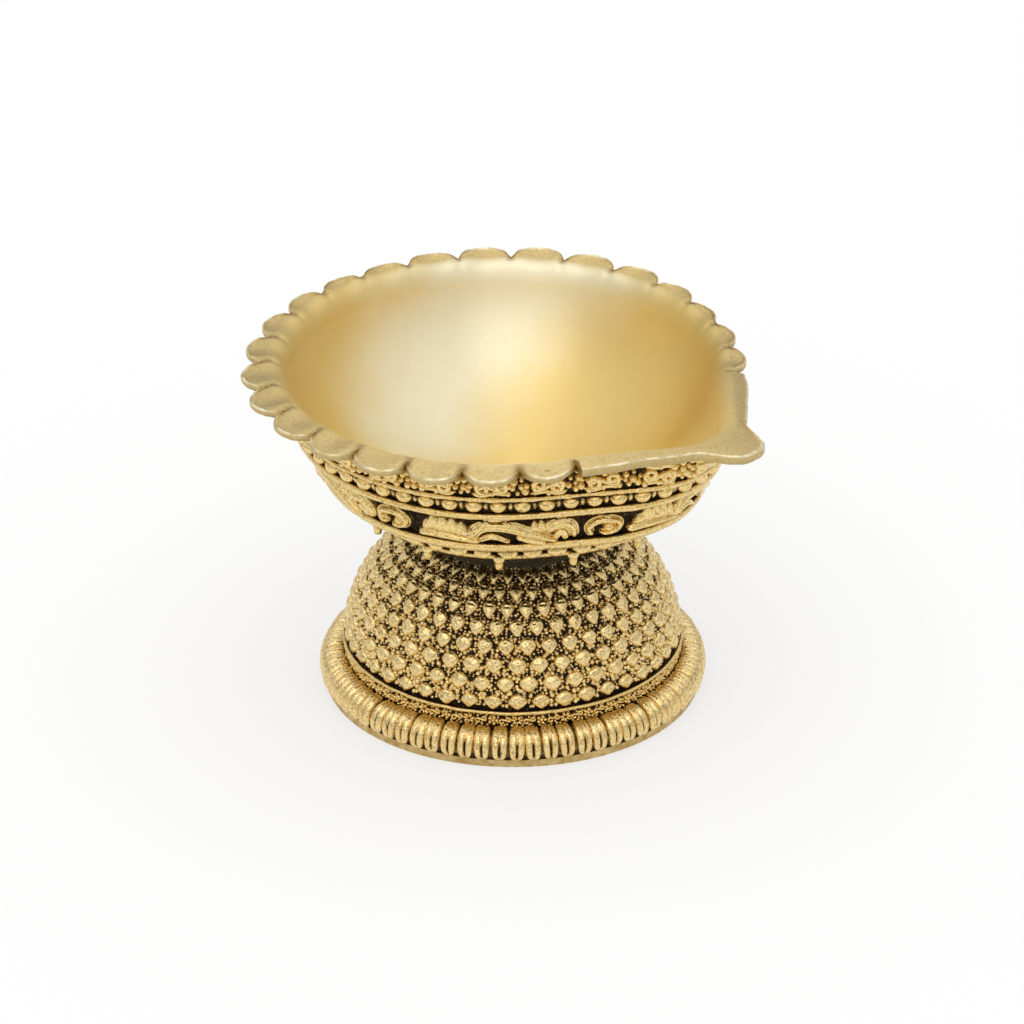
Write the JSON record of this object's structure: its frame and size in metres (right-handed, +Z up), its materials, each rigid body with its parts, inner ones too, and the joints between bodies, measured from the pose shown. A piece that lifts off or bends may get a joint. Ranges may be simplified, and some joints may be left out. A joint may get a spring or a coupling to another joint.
{
  "type": "pedestal oil lamp",
  "caption": "Leaf-shaped brass butter or oil lamp with a scalloped rim and a wick spout, on a domed, studded foot with a corded foot ring.",
  "frame": {"origin": "centre of the foot's underside, on the surface that the lamp stands on", "axes": "+Z up, +X along the spout, mirror plane XZ"},
  "size_m": [0.0909, 0.0802, 0.0559],
  "materials": {
    "cast_rim": "matte",
    "satin_bowl": "satin",
    "antique_ornament": "antiqued",
    "dark_ground": "dark patina",
    "dull_neck": "dull",
    "base_edge": "matte",
    "plain_fixing": "turned"
  },
  "bodies": {
    "root": {"scalloped_rim": "cast_rim", "bowl_shell": "satin_bowl", "neck_collar": "dull_neck", "fixing_screw": "plain_fixing", "fixing_washer": "plain_fixing", "foot_shell": "dark_ground", "foot_ring_core": "dark_ground", "base_plate": "base_edge", "rim_florets": "antique_ornament", "rim_scrolls": "antique_ornament", "upper_wire": "antique_ornament", "oval_beads": "antique_ornament", "middle_wire": "antique_ornament", "scroll_volutes": "antique_ornament", "acanthus_leaves": "antique_ornament", "lower_wire": "antique_ornament", "collar_wire": "antique_ornament", "collar_pegs": "antique_ornament", "foot_wire": "antique_ornament", "foot_florets": "antique_ornament", "foot_ring_loops": "antique_ornament", "stud_row_1": "antique_ornament", "stud_row_2": "antique_ornament", "stud_row_3": "antique_ornament", "stud_row_4": "antique_ornament", "stud_row_5": "antique_ornament", "stud_row_6": "antique_ornament", "stud_row_7": "antique_ornament", "stud_row_8": "antique_ornament"}
  },
  "joints": []
}
